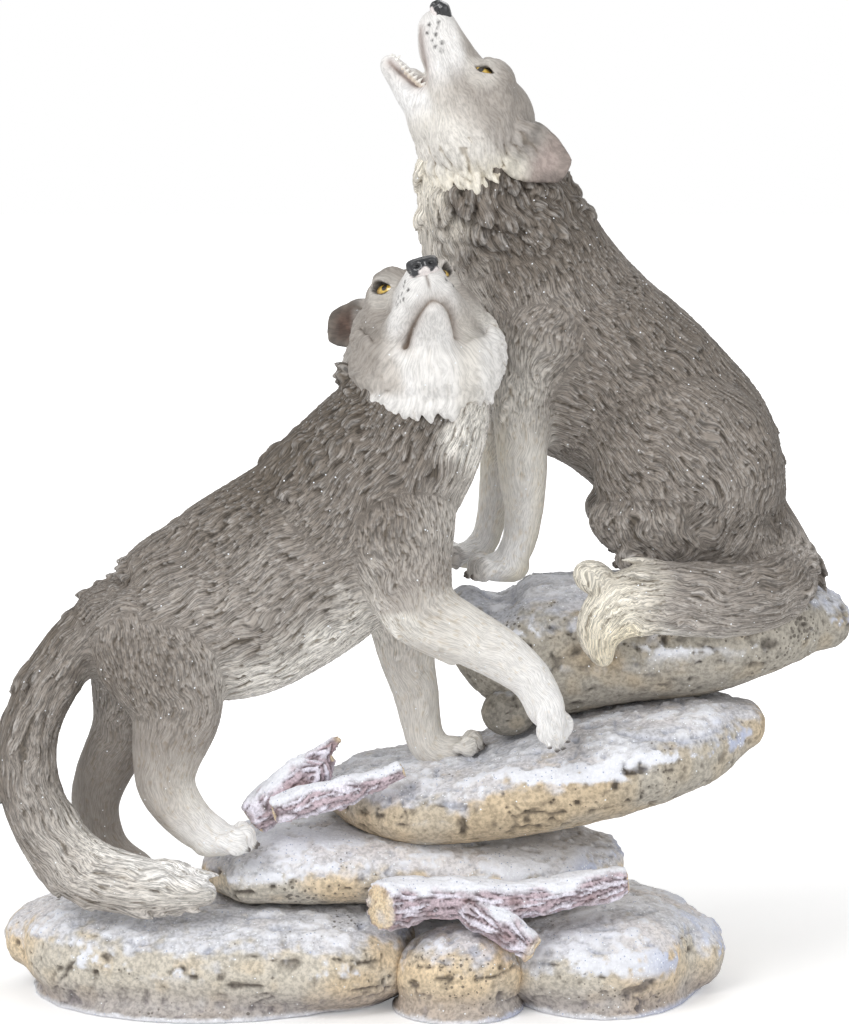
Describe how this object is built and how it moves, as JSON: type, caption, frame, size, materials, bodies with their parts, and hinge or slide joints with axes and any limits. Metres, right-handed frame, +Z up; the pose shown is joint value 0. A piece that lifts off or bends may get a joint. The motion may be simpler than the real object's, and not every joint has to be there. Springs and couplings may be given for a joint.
{
  "type": "wolf figurine",
  "caption": "Painted resin ornament: a wolf walking up a stack of snowy boulders below a seated, howling wolf.",
  "frame": {"origin": "under the middle of the base, on the surface it stands on", "axes": "+Z up, the front that the picture shows at -Y, +X to the viewer's right"},
  "size_m": [0.2329, 0.1003, 0.2693],
  "materials": {
    "painted_resin": "hand-painted matte resin with a little glitter"
  },
  "bodies": {
    "root": {"figurine": "painted_resin"}
  },
  "joints": []
}
